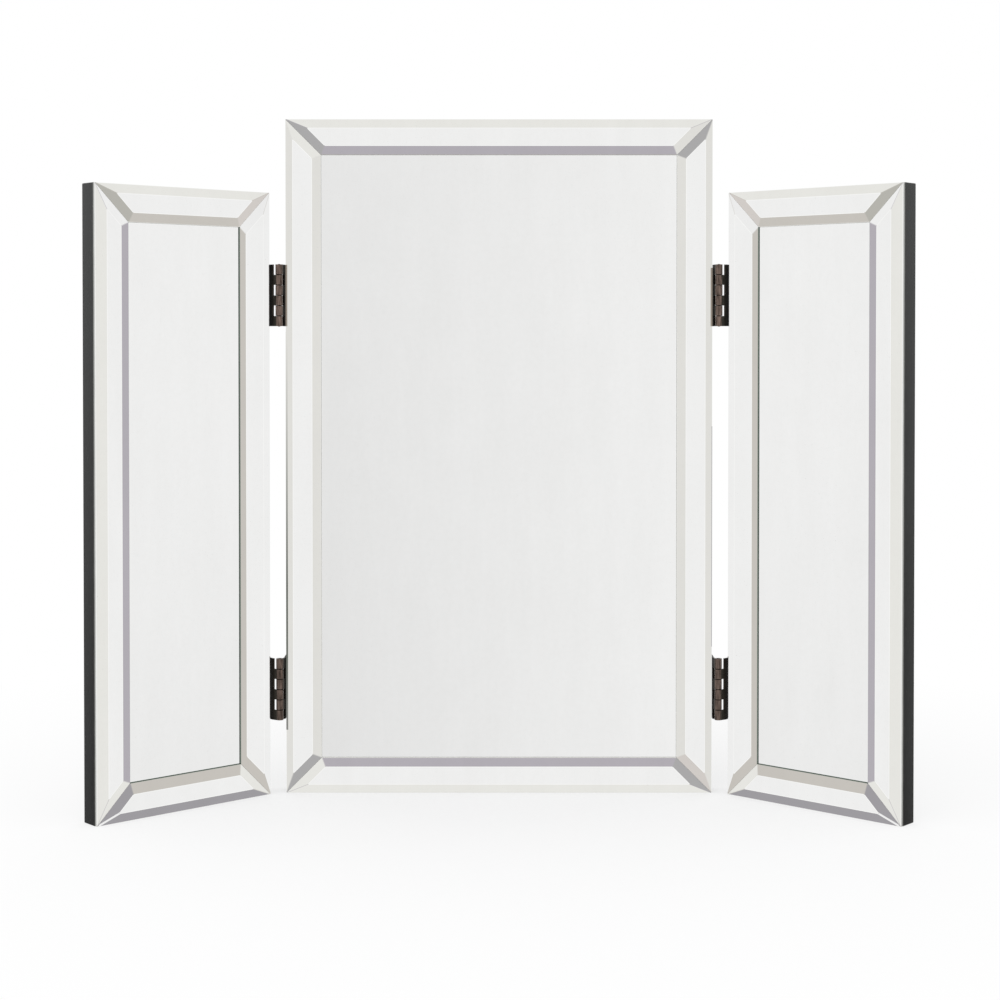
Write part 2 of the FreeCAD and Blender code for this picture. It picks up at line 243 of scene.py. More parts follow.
def silvered_glass():
    """Silvered face of plates and strips: the facet's painted reflection tone under a faint film, smears
    and dust.
    """
    material, tree, shader, place = new_finish("silvered_glass")
    tone = attribute(tree, "tone", "Color")
    film = use_group(tree, mottle, {"Vector": place, "Scale": 26.0, "Fine": 0.45})
    smear = use_group(tree, mottle, {"Vector": place, "Scale": 6.0, "Fine": 0.25})
    upright = drawn_upright(tree, place, 0.15)
    wiped = use_group(tree, mottle, {"Vector": upright, "Scale": 60.0, "Fine": 0.2})
    specks = use_group(tree, dust, {"Vector": place, "Scale": 190.0, "Amount": 0.11})
    cleaned = weaken(tree, arithmetic(tree, "ADD", film, wiped), share=0.5)
    filmed = blend(tree, cleaned, FILM_ON_GLASS, WHITE)
    coloured = blend(tree, 1.0, tone, filmed, way="MULTIPLY")
    dusted = blend(tree, weaken(tree, specks, share=0.12), coloured, DUST_ON_GLASS)
    tree.links.new(dusted, shader.inputs["Base Color"])
    shader.inputs["Metallic"].default_value = 1.0
    polish = remap(tree, smear, to_low=0.012, to_high=0.05)
    rough = arithmetic(tree, "MAXIMUM", polish, weaken(tree, specks, share=0.25))
    tree.links.new(rough, shader.inputs["Roughness"])
    ripple = add(tree, "ShaderNodeTexNoise", {"Vector": place, "Scale": 9.0, "Detail": 1.0})
    roughen(tree, shader, ripple.outputs["Fac"], strength=0.05, distance=0.8 * MM)
    return material


def glass_edge():
    """Ground and polished glass edge: the side's painted tone of shade and reflection under grinding
    streaks.
    """
    material, tree, shader, place = new_finish("glass_edge")
    tone = attribute(tree, "tone", "Color")
    upright = drawn_upright(tree, place, 0.12)
    streak = use_group(tree, mottle, {"Vector": upright, "Scale": 420.0, "Fine": 0.3})
    specks = use_group(tree, dust, {"Vector": place, "Scale": 300.0, "Amount": 0.2})
    streaked = blend(tree, streak, GRINDING_MARK, WHITE)
    coloured = blend(tree, 1.0, tone, streaked, way="MULTIPLY")
    dusted = blend(tree, weaken(tree, specks, share=0.3), coloured, DUST_ON_EDGE)
    tree.links.new(dusted, shader.inputs["Base Color"])
    tree.links.new(remap(tree, streak, to_low=0.10, to_high=0.32), shader.inputs["Roughness"])
    shader.inputs["IOR"].default_value = GLASS_IOR
    roughen(tree, shader, streak, strength=0.12, distance=0.2 * MM)
    return material


def charcoal_paint():
    """Charcoal paint on fibreboard, paler towards the top as painted light: orange peel, scuffed arrises
    and dust.
    """
    material, tree, shader, place = new_finish("charcoal_paint")
    # Paler towards the top: painted light
    lightened = remap(tree, height_of(tree, place), *PAINT_LIGHT_HEIGHTS, to_high=0.7)
    edge = attribute(tree, "edge")
    cloud = use_group(tree, mottle, {"Vector": place, "Scale": 20.0, "Fine": 0.4})
    peel = use_group(tree, mottle, {"Vector": place, "Scale": 330.0, "Fine": 0.35})
    worn = use_group(tree, edge_wear, {"Vector": place, "Edge": edge, "Scale": 75.0})
    specks = use_group(tree, dust, {"Vector": place, "Scale": 230.0, "Amount": 0.16})
    tint = arithmetic(tree, "ADD", weaken(tree, cloud, share=0.3), lightened)
    painted = blend(tree, tint, DEEP_PAINT, PALER_PAINT)
    scuffed = blend(tree, weaken(tree, worn, share=0.5), painted, SCUFFED_PAINT)
    dusted = blend(tree, weaken(tree, specks, share=0.2), scuffed, DUST_ON_PAINT)
    tree.links.new(dusted, shader.inputs["Base Color"])
    tree.links.new(remap(tree, cloud, to_low=0.52, to_high=0.7), shader.inputs["Roughness"])
    shader.inputs["Specular IOR Level"].default_value = 0.12
    roughen(tree, shader, peel, strength=0.22, distance=0.3 * MM)
    return material


def antique_bronze(name, dark, light, rough):
    """Steel with an antique bronze finish, stained in upright streaks, rubbed on the edges, with grime and
    painted shade where the piece marks them, and painted shade low down.

    The stain lies between the dark and the light colour, and the roughness between the two given values.
    """
    material, tree, shader, place = new_finish(name)
    edge = attribute(tree, "edge")
    upright = drawn_upright(tree, place, 0.12)
    stain = use_group(tree, mottle, {"Vector": upright, "Scale": 850.0, "Fine": 0.15})
    grain = use_group(tree, mottle, {"Vector": place, "Scale": 900.0, "Fine": 0.3})
    worn = use_group(tree, edge_wear, {"Vector": place, "Edge": edge, "Scale": 520.0})
    stained = blend(tree, stain, dark, light)
    rubbed = blend(tree, weaken(tree, worn, share=0.6), stained, RUBBED_BRONZE)
    # Grime in the knuckle joints, and painted shade on the leaves where the piece marks it
    grimed_and_shaded = blend(tree, attribute(tree, "grime"), rubbed, BLACK_GRIME_AND_SHADE)
    # Painted shade: the bronze darker low down
    low_shade = remap(tree, height_of(tree, place), *BRONZE_SHADE_HEIGHTS, to_low=0.25, to_high=0.0)
    shaded_low = blend(tree, low_shade, grimed_and_shaded, LOW_SHADE_BRONZE)
    tree.links.new(shaded_low, shader.inputs["Base Color"])
    shader.inputs["Metallic"].default_value = 1.0
    smoothest, roughest = rough
    tree.links.new(remap(tree, grain, to_low=smoothest, to_high=roughest), shader.inputs["Roughness"])
    roughen(tree, shader, grain, strength=0.15, distance=0.1 * MM)
    return material


silver = silvered_glass()
ground_edge = glass_edge()
paint = charcoal_paint()
# The leaves' bronze is a darker copy of the knuckles', as painted shade
leaf_bronze = antique_bronze("leaf_bronze", rough=(0.40, 0.58),
                             dark=(0.028, 0.025, 0.021, 1.0), light=(0.080, 0.074, 0.062, 1.0))
knuckle_bronze = antique_bronze("knuckle_bronze", rough=(0.26, 0.42),
                                dark=(0.034, 0.025, 0.020, 1.0), light=(0.252, 0.184, 0.154, 1.0))
pin_bronze = antique_bronze("pin_bronze", rough=(0.22, 0.36),
                            dark=(0.085, 0.064, 0.050, 1.0), light=(0.19, 0.145, 0.11, 1.0))
screw_bronze = antique_bronze("screw_bronze", rough=(0.25, 0.40),
                              dark=(0.060, 0.047, 0.038, 1.0), light=(0.15, 0.112, 0.085, 1.0))

# Piece helpers
# Corners that are closer than this are one, and sides that turn by less than this are one.
SAME_SPOT = 0.002 * MM
SAME_SIDE = math.radians(0.4)
# Edges that turn by more than this stay sharp in the shading.
SHADING_BREAK = math.radians(32.0)
# Profile of an edge that is eased to a quarter circle
ROUND = 0.5
# Shares of its normal that a face turns to a side, to count as facing it
SQUARELY = 0.9
MOSTLY = 0.5
PARTLY = 0.3


def new_object(name, data):
    """Object in the scene for a mesh, a lamp or a camera."""
    made = bpy.data.objects.new(name, data)
    bpy.context.scene.collection.objects.link(made)
    return made


def merged_copy(node, place):
    """Merged copy of a solid's mesh, seen from the given place, with one face for each flat side."""
    shape = bmesh.new()
    shape.from_mesh(frame["nodes"][node].data)
    shape.transform(place.inverted())
    bmesh.ops.remove_doubles(shape, verts=shape.verts, dist=SAME_SPOT)
    bmesh.ops.dissolve_limit(shape, angle_limit=SAME_SIDE, verts=shape.verts, edges=shape.edges)
    return shape


def ease(shape, edges, width, segments=1, profile=0.0):
    """Bevel some edges, flat or rounded; returns the new faces."""
    return bmesh.ops.bevel(shape, geom=edges, offset=width, segments=segments, profile=profile,
                           affect="EDGES", clamp_overlap=True)["faces"]


def split(shape, at, normal):
    """Divide the faces that a plane crosses, using the corners that already lie on it."""
    bmesh.ops.bisect_plane(shape, geom=shape.verts[:] + shape.edges[:] + shape.faces[:], dist=SAME_SPOT,
                           plane_co=at, plane_no=normal)


def sharpen(shape, angle):
    """Smooth shading, broken at edges steeper than the angle."""
    for face in shape.faces:
        face.smooth = True
    for edge in shape.edges:
        edge.smooth = edge.calc_face_angle(0.0) < angle


def to_mesh(shape, name, place, materials):
    """Mesh of the shape, put back in its place."""
    shape.transform(place)
    shape.normal_update()
    mesh = bpy.data.meshes.new(name)
    shape.to_mesh(mesh)
    shape.free()
    for material in materials:
        mesh.materials.append(material)
    return mesh


def keep_piece(mesh, node):
    """Make the mesh a piece that stands for its solid and moves with it."""
    piece = new_object(mesh.name, mesh)
    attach(piece, frame["nodes"][node]["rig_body"])
    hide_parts(node)


# Glass
SILVER = (0.878, 0.878, 0.873)
# Painted highlight along the arrises
GLINT = (0.93, 0.93, 0.92)
# Painted reflections and shade: what a facet picks up from the room around it, as shares of the silver's
# own colour
PAINTED_REFLECTIONS = {
    "silver": (1.0, 1.0, 1.0),
    "pale": (0.92, 0.915, 0.88),
    "soft": (0.855, 0.846, 0.815),
    "blush": (0.74, 0.70, 0.67),
    "beige": (0.655, 0.626, 0.585),
    "olive": (0.54, 0.53, 0.49),
    "lilac": (0.515, 0.489, 0.533),
    "shade": (0.47, 0.465, 0.47),
    "slate": (0.40, 0.388, 0.412),
    "rust": (0.33, 0.288, 0.245),
    "dusk": (0.285, 0.285, 0.27),
    "green": (0.20, 0.245, 0.21),
    "charcoal": (0.165, 0.177, 0.155),
    "night": (0.04, 0.049, 0.041),
}
# Painted reflections and shade on a strip's outer bevel, its inner one, its left and right mitred ends as
# seen with the outer edge up, and its inner side
STRIP_PAINTED_REFLECTIONS = {
    "centre_top_strip": ("pale", "lilac", "shade", "soft", "olive"),
    "centre_bottom_strip": ("pale", "lilac", "shade", "pale", "pale"),
    "centre_left_strip": ("soft", "soft", "shade", "pale", "pale"),
    "centre_right_strip": ("soft", "soft", "shade", "blush", "pale"),
    "left_wing_top_strip": ("pale", "beige", "olive", "blush", "pale"),
    "left_wing_bottom_strip": ("slate", "beige", "pale", "slate", "green"),
    "left_wing_outer_strip": ("pale", "lilac", "pale", "silver", "green"),
    "left_wing_inner_strip": ("silver", "beige", "silver", "beige", "green"),
    "right_wing_top_strip": ("pale", "beige", "blush", "olive", "pale"),
    "right_wing_bottom_strip": ("slate", "beige", "slate", "pale", "green"),
    "right_wing_outer_strip": ("pale", "lilac", "silver", "pale", "green"),
    "right_wing_inner_strip": ("silver", "beige", "beige", "silver", "green"),
}
# Painted reflections of the dark board and hinge beside some rims: foot, head and width
# in millimetres, and the tones at the foot and at the head
RIM_REFLECTIONS = {
    "centre_left_strip": (
        (52.0, 115.0, 1.6, "dusk", "charcoal"),
        (115.0, 170.0, 1.6, "charcoal", "charcoal"),
        (170.0, 377.0, 1.6, "charcoal", "soft"),
        (381.5, 431.5, 1.5, "rust", "rust"),
    ),
    "centre_right_strip": (
        (120.0, 300.0, 0.5, "slate", "slate"),
        (381.5, 429.0, 1.6, "rust", "rust"),
    ),
}
OUTWARD = {"top": (0, 1), "bottom": (0, -1), "left": (-1, 0), "right": (1, 0)}
# Which side of a panel its hinges are on: -1 left, 1 right, 0 both
HINGE_SIDE = {"centre": 0, "left_wing": 1, "right_wing": -1}
ARRIS = 0.3 * MM
# A strip's edges that come this near to its front are softened.
SOFTENED_DEPTH = 2.5 * MM
# A corner this near to the front or the back lies on it.
NEAR_FACE = 0.1 * MM
HIP_WIDTH = 1.6 * MM
# The silvering is behind the glass, so a bevel mirrors like a prism, as if it leaned the other way.
PRISM_SHARE = 0.52
FLAT = Vector((0.0, -1.0, 0.0))
# A face that leans by less than this is flat, and an arris that leans by more than this turns to a side.
FLAT_LEAN = 0.01
STEEP_LEAN = 0.5
# A face whose normal reaches further back than this is a side of the glass.
SIDE_LEVEL = -0.25
# The plates' faces are cut into squares, so that the painted shade on their reflection can follow a curve.
PLATE_CUTS = 11
CENTRE_REFLECTION_SHADE = 0.12
CENTRE_SHADE_RISE = 0.3
WING_REFLECTION_SHADE = 0.045


def strip_edge(node):
    """Which edge of its panel a strip lies along."""
    edge = node.split("_")[-2]
    if edge == "outer":
        return "left" if node.startswith("left") else "right"
    if edge == "inner":
        return "right" if node.startswith("left") else "left"
    return edge


def toned(*names):
    """Silver in a painted reflection tone, or in the mean of several."""
    return [level * sum(PAINTED_REFLECTIONS[name][channel] for name in names) / len(names)
            for channel, level in enumerate(SILVER)]


def lean_of(face):
    """How far a face leans back from the flat face of the mirror."""
    return math.acos(max(-1.0, min(1.0, -face.normal.y)))


def is_bevel(face):
    """Whether a face leans like a ground bevel."""
    return FLAT_LEAN < lean_of(face) < STEEP_LEAN


def prism_normal(lean, across):
    """The way a bevel mirrors, from its lean and the direction in which it faces."""
    angle = PRISM_SHARE * lean
    lean_back = -math.sin(angle)
    return Vector((across.x * lean_back, -math.cos(angle), across.y * lean_back))


def facet_look(face, is_arris, outward, tones, away):
    """Colour of a strip's face, a painted reflection, shade or highlight, and the way it mirrors: flat, a
    bevel, an arris or a side.

    On a strip beside a hinge, away is the side away from the hinge, -1 left or 1 right, and a bevel that
    faces it mirrors the way it leans. On the others it is 0.
    """
    outer, inner, left_end, right_end, inner_side = tones
    lean = lean_of(face)
    if lean < FLAT_LEAN:
        return SILVER, FLAT
    normal = face.normal
    across = Vector((normal.x, normal.z)).normalized()
    out = across.dot(Vector(outward))
    on_outer = out > SQUARELY
    on_inner = out < -SQUARELY
    on_left = across.dot(Vector((outward[1], -outward[0]))) < 0.0
    end = left_end if on_left else right_end
    if normal.y > SIDE_LEVEL:
        return toned(inner_side if on_inner else "pale"), normal.copy()
    if is_arris and lean > STEEP_LEAN:
        if on_outer:
            return GLINT, FLAT
        return toned(inner_side if on_inner else end), FLAT
    if is_arris:
        beside_flat = any(lean_of(other) < FLAT_LEAN for edge in face.edges for other in edge.link_faces)
        return GLINT if beside_flat else toned(inner, end), FLAT
    tone = end
    if on_outer:
        tone = outer
    elif on_inner:
        tone = inner
    if away * normal.x > 0.0:
        return toned(tone), normal.copy()
    return toned(tone), prism_normal(lean, across)


def split_rim(shape, side, band):
    """Cut a strip's faces along a rim with a painted reflection, on its left with side -1 or on its right
    with 1.

    Returns a test for the faces that lie in the rim.
    """
    foot, head, width = (size * MM for size in band[:3])
    line = max(vertex.co.x * side for vertex in shape.verts) - width
    split(shape, (0, 0, foot), (0, 0, 1))
    split(shape, (0, 0, head), (0, 0, 1))
    split(shape, (line * side, 0, 0), (1, 0, 0))

    def in_rim(face):
        middle = face.calc_center_median()
        return face.normal.y < SIDE_LEVEL and foot < middle.z < head and middle.x * side > line

    return in_rim


def rim_tone(height, band):
    """Colour of a rim's painted reflection at a height, between the ones at its foot and its head."""
    foot, head, _, foot_tone, head_tone = band
    share = max(0.0, min(1.0, (height / MM - foot) / (head - foot)))
    return [low + share * (high - low) for low, high in zip(toned(foot_tone), toned(head_tone))]


def outer_hip(shape, side):
    """Ends of the edge where a bottom strip's outer bevel meets the bevel of its outer end, tip first."""
    hips = [edge for edge in shape.edges if all(is_bevel(face) for face in edge.link_faces)]
    hip = max(hips, key=lambda edge: sum(side * v.co.x - v.co.z for v in edge.verts))
    return sorted((v.co.copy() for v in hip.verts), key=lambda spot: spot.z)


def split_hip(shape, tip, end):
    """Cut a strip's faces along a hip that is ground flat.

    Returns a test for the faces that lie in it.
    """
    along = Vector((end.x - tip.x, 0.0, end.z - tip.z))
    length = along.length
    along.normalize()
    across = Vector((along.z, 0.0, -along.x))
    for half in (-HIP_WIDTH / 2, HIP_WIDTH / 2):
        split(shape, tip + across * half, across)

    def in_hip(face):
        reach = face.calc_center_median() - tip
        return is_bevel(face) and abs(reach.dot(across)) < HIP_WIDTH / 2 and 0.0 < reach.dot(along) < length

    return in_hip


def make_strip(node, panel):
    """Mitred strip with four ground bevels and softened arrises, coloured with painted reflections, shade
    and highlights.
    """
    place = panel_frames[panel]
    turn = place.to_3x3()
    outward = OUTWARD[strip_edge(node)]
    side = -1 if node.startswith("left") else 1
    away = side if node.endswith("inner_strip") else 0
    shape = merged_copy(node, place)
    hip = outer_hip(shape, side) if node.endswith("wing_bottom_strip") else None
    front = min(vertex.co.y for vertex in shape.verts)
    back = max(vertex.co.y for vertex in shape.verts)
    tone_layer = shape.loops.layers.float_color.new("tone")
    arris_layer = shape.faces.layers.int.new("arris")
    arrises = [edge for edge in shape.edges if min(v.co.y for v in edge.verts) < front + SOFTENED_DEPTH]
    for face in ease(shape, arrises, ARRIS):
        face[arris_layer] = 1
    painted_rims = [(band, split_rim(shape, outward[0], band)) for band in RIM_REFLECTIONS.get(node, ())]
    in_hip = split_hip(shape, *hip) if hip else None
    shape.normal_update()
    corner_normals = []
    for face in shape.faces:
        is_side = face.normal.y > SIDE_LEVEL
        is_outer_side = is_side and Vector((face.normal.x, face.normal.z)).dot(Vector(outward)) > SQUARELY
        face.smooth = True
        face.material_index = 1 if is_side else 0
        colour, mirrored = facet_look(face, face[arris_layer], outward, STRIP_PAINTED_REFLECTIONS[node], away)
        if in_hip and in_hip(face):
            colour, mirrored = SILVER, FLAT
        band = next((rim for rim, in_rim in painted_rims if in_rim(face)), None)
        for loop in face.loops:
            spot = loop.vert.co
            corner_colour = colour
            # Painted reflection of the board or hinge along a rim, and painted shade on an outer side where
            # it meets the board
            if band:
                corner_colour = rim_tone(spot.z, band)
            elif is_outer_side and spot.y > back - NEAR_FACE:
                corner_colour = toned("night")
            loop[tone_layer] = (*corner_colour, 1.0)
            corner_normals.append(turn @ mirrored)
    shape.faces.layers.int.remove(arris_layer)
    mesh = to_mesh(shape, node + "_glass", place, (silver, ground_edge))
    mesh.normals_split_custom_set(corner_normals)
    keep_piece(mesh, node)


def reflection_shade(panel, across, up):
    """How much painted shade darkens a plate's reflection at a spot: the centre's to its lower left, a
    wing's low down.
    """
    if panel == "centre":
        return CENTRE_REFLECTION_SHADE * (1.0 - across) * (1.0 - CENTRE_SHADE_RISE * up)
    return WING_REFLECTION_SHADE * (1.0 - up) ** 2


def make_plate(node, panel):
    """Plain plate with softened arrises, its reflection darkened a little by painted shade, with painted
    highlights and shade on its arrises and sides.
    """
    place = panel_frames[panel]
    turn = place.to_3x3()
    hinge_side = HINGE_SIDE[panel]
    # Painted reflection on the centre's glass sides, painted shade on the wings'
    side_colour = toned("pale" if panel == "centre" else "green")
    shape = merged_copy(node, place)
    front = min(vertex.co.y for vertex in shape.verts)
    arrises = [edge for edge in shape.edges if all(v.co.y < front + NEAR_FACE for v in edge.verts)]
    ease(shape, arrises, ARRIS)
    shape.normal_update()
    mirror = min(shape.faces, key=lambda face: face.normal.y)
    bmesh.ops.subdivide_edges(shape, edges=mirror.edges[:], cuts=PLATE_CUTS, use_grid_fill=True)
    shape.normal_update()
    low_x = min(vertex.co.x for vertex in shape.verts)
    high_x = max(vertex.co.x for vertex in shape.verts)
    high_z = max(vertex.co.z for vertex in shape.verts)
    tone_layer = shape.loops.layers.float_color.new("tone")
    corner_normals = []
    for face in shape.faces:
        is_side = face.normal.y > SIDE_LEVEL
        is_flat = lean_of(face) < FLAT_LEAN
        is_shaded = hinge_side and (face.normal.x * hinge_side > PARTLY or face.normal.z < -PARTLY)
        face.smooth = True
        face.material_index = 1 if is_side else 0
        mirrored = turn @ (face.normal if is_side else FLAT)
        for loop in face.loops:
            # Arrises facing the hinge or down get painted shade, the others a painted highlight
            colour = side_colour if is_side or is_shaded else GLINT
            if is_flat:
                across = (loop.vert.co.x - low_x) / (high_x - low_x)
                up = loop.vert.co.z / high_z
                colour = [level * (1.0 - reflection_shade(panel, across, up)) for level in SILVER]
            loop[tone_layer] = (*colour, 1.0)
            corner_normals.append(mirrored)
    mesh = to_mesh(shape, node + "_glass", place, (silver, ground_edge))
    mesh.normals_split_custom_set(corner_normals)
    keep_piece(mesh, node)


# Boards
BOARD_EASING = 0.7 * MM


def make_board(node, panel):
    """Board with its screw holes, and its arrises eased and marked for wear."""
    place = panel_frames[panel]
    shape = merged_copy(node, place)
    low = [min(vertex.co[axis] for vertex in shape.verts) for axis in range(3)]
    high = [max(vertex.co[axis] for vertex in shape.verts) for axis in range(3)]

    def outer_sides(vertex):
        return {(axis, end) for axis in range(3) for end in (low[axis], high[axis])
                if abs(vertex.co[axis] - end) < SAME_SPOT}

    arrises = [edge for edge in shape.edges
               if len(outer_sides(edge.verts[0]) & outer_sides(edge.verts[1])) >= 2]
    edge_layer = shape.faces.layers.float.new("edge")
    for face in ease(shape, arrises, BOARD_EASING, segments=3, profile=ROUND):
        face[edge_layer] = 1.0
    shape.normal_update()
    sharpen(shape, SHADING_BREAK)
    keep_piece(to_mesh(shape, node + "_painted", place, (paint,)), node)


# Hinges
# Radius of the barrel, and how near to its surface a spot counts as on it or as in a joint of knuckles
BARREL = 2.9 * MM
BARREL_MARGIN = 0.2 * MM
JOINT_MARGIN = 0.1 * MM
# How near to the barrel's top and foot there is no joint
BARREL_END = 1.0 * MM
SHARP_CORNER = math.radians(50.0)
JOINT_CHAMFER = 0.28 * MM
LEAF_EASING = 0.07 * MM
# Painted shade darkens a leaf's face towards its board.
LEAF_SHADE_START = 0.5 * MM
LEAF_SHADE_END = 4.8 * MM


def leaf_place(node):
    """A leaf's own frame on its hinge axis, and the side that the leaf reaches to."""
    side_name = node.split("_")[0]
    side = -1.0 if side_name == "left" else 1.0
    if frame["nodes"][node]["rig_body"] == "centre":
        return hinge_feet[side_name + "_wing"], -side
    return panel_frames[side_name + "_wing"], side


def make_leaf(node):
    """Leaf with its edges eased and rubbed; its knuckles are browner than its plate, with grimy joints and
    painted shade where it faces its board or, on the centre, the front.
    """
    place, side = leaf_place(node)
    on_centre = frame["nodes"][node]["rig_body"] == "centre"
    low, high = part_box(node)
    shape = merged_copy(node, place)
    edge_layer = shape.faces.layers.float.new("edge")
    joint_layer = shape.faces.layers.int.new("joint")
    grime_and_shade_layer = shape.loops.layers.float.new("grime")

    def in_joint(spot):
        return spot.xy.length < BARREL + JOINT_MARGIN and low.z + BARREL_END < spot.z < high.z - BARREL_END

    def is_sharp(edge):
        return edge.calc_face_angle(0.0) > SHARP_CORNER

    def is_joint_rim(edge):
        is_round = all(in_joint(v.co) and v.co.xy.length > BARREL - BARREL_MARGIN for v in edge.verts)
        return is_round and any(abs(face.normal.z) > SQUARELY for face in edge.link_faces)

    rims = [edge for edge in shape.edges if is_sharp(edge) and is_joint_rim(edge)]
    for face in ease(shape, rims, JOINT_CHAMFER):
        face[joint_layer] = 1
    corners = [edge for edge in shape.edges if is_sharp(edge)]
    for face in ease(shape, corners, LEAF_EASING, segments=2, profile=ROUND):
        face[edge_layer] = 1.0
    split(shape, (0, LEAF_SHADE_END, 0), (0, 1, 0))
    shape.normal_update()
    for face in shape.faces:
        middle = face.calc_center_median()
        is_knuckle = middle.xy.length < BARREL + BARREL_MARGIN
        is_joint = face[joint_layer] or (abs(face.normal.z) > SQUARELY and in_joint(middle))
        is_underside = not is_knuckle and face.normal.x * side > MOSTLY
        in_painted_shade = on_centre and not is_knuckle and (is_underside or face.normal.y < -PARTLY)
        face.material_index = 1 if is_knuckle else 0
        for loop in face.loops:
            # Grime in the joints; painted shade on the centre leaves' front and underside, and on the
            # others' underside towards the board
            grime = 0.0
            if is_joint or in_painted_shade:
                grime = 1.0
            elif is_underside:
                depth = (loop.vert.co.y - LEAF_SHADE_START) / (LEAF_SHADE_END - LEAF_SHADE_START)
                grime = max(0.0, min(1.0, depth))
            loop[grime_and_shade_layer] = grime
    shape.faces.layers.int.remove(joint_layer)
    sharpen(shape, SHADING_BREAK)
    keep_piece(to_mesh(shape, node + "_bronze", place, (leaf_bronze, knuckle_bronze)), node)


# Screws, with a screw's own sizes in millimetres
SCREW_SEGMENTS = 24
SCREW_LENGTH = 14.0
SCREW_RIM_RADIUS = 2.32
SCREW_HEAD_RADIUS = 2.40
SCREW_HEAD_DEPTH = 0.09
SCREW_NECK_DEPTH = 1.1
SHANK_RADIUS = 1.38
CORE_RADIUS = 1.02
THREAD_HEIGHT = 0.36
THREAD_START = 3.6
THREAD_MARGIN = 0.2
THREAD_PITCH = 1.1
THREAD_STEPS = 4
TAPER_START = 11.0
RECESS_ARM = 1.4
RECESS_HALF_WIDTH = 0.35
RECESS_DEPTH = 0.7
RECESS_TAPER = 0.62
SCREW_SHADING_BREAK = math.radians(38.0)
# Each leaf has an upright row of screws, set off from its hinge axis to the side and to the back.
SCREWS_IN_ROW = 3
SCREW_SPACING = 17.0 * MM
SCREW_ASIDE = 2.8 * MM
SCREW_BACK = 16.5 * MM
SCREW_SEED = 0


def thread_radius(along, angle):
    """Radius of the threaded part, a ridge that winds along the screw and dies out at its point."""
    phase = ((along - THREAD_START) / THREAD_PITCH - angle / (2 * math.pi)) % 1.0
    ridge = 1.0 - abs(2.0 * phase - 1.0)
    radius = CORE_RADIUS + THREAD_HEIGHT * ridge
    if along > TAPER_START:
        radius *= (SCREW_LENGTH - along) / (SCREW_LENGTH - TAPER_START)
    return radius


def screw_mesh():
    """Countersunk wood screw along +X, the top of its head at the origin, with a cross recess."""
    shape = bmesh.new()
    edge_layer = shape.faces.layers.float.new("edge")
    angles = [2 * math.pi * step / SCREW_SEGMENTS for step in range(SCREW_SEGMENTS)]

    def ring(along, radius_at):
        return [shape.verts.new((along * MM, radius_at(angle) * math.cos(angle) * MM,
                                 radius_at(angle) * math.sin(angle) * MM)) for angle in angles]

    def plain_ring(along, radius):
        return ring(along, lambda angle: radius)

    def skin(first, second, worn):
        count = len(first)
        for step in range(count):
            following = (step + 1) % count
            face = shape.faces.new((first[step], first[following], second[following], second[step]))
            face[edge_layer] = worn

    rim = plain_ring(0.0, SCREW_RIM_RADIUS)
    head = plain_ring(SCREW_HEAD_DEPTH, SCREW_HEAD_RADIUS)
    neck = plain_ring(SCREW_NECK_DEPTH, SHANK_RADIUS)
    shank = plain_ring(THREAD_START - THREAD_MARGIN, SHANK_RADIUS)
    skin(rim, head, worn=1.0)
    skin(head, neck, worn=0.2)
    skin(neck, shank, worn=0.0)
    last = shank
    along = THREAD_START
    while along < SCREW_LENGTH - THREAD_MARGIN:
        turn = ring(along, lambda angle: thread_radius(along, angle))
        skin(last, turn, worn=0.3)
        last = turn
        along += THREAD_PITCH / THREAD_STEPS
    tip = shape.verts.new((SCREW_LENGTH * MM, 0.0, 0.0))
    for step in range(SCREW_SEGMENTS):
        shape.faces.new((last[step], last[(step + 1) % SCREW_SEGMENTS], tip))

    arm, half = RECESS_ARM, RECESS_HALF_WIDTH
    cross = ((half, arm), (half, half), (arm, half), (arm, -half), (half, -half), (half, -arm),
             (-half, -arm), (-half, -half), (-arm, -half), (-arm, half), (-half, half), (-half, arm))
    mouth = [shape.verts.new((0.0, y * MM, z * MM)) for y, z in cross]
    bottom = [shape.verts.new((RECESS_DEPTH * MM, RECESS_TAPER * y * MM, RECESS_TAPER * z * MM))
              for y, z in cross]
    skin(mouth, bottom, worn=0.6)
    shape.faces.new(bottom)
    border = [shape.edges.get((loop[step], loop[(step + 1) % len(loop)]))
              for loop in (rim, mouth) for step in range(len(loop))]
    bmesh.ops.triangle_fill(shape, use_beauty=True, edges=border, normal=(-1.0, 0.0, 0.0))
    bmesh.ops.recalc_face_normals(shape, faces=shape.faces)
    sharpen(shape, SCREW_SHADING_BREAK)
    return to_mesh(shape, "wood_screw", Matrix.Identity(4), (screw_bronze,))


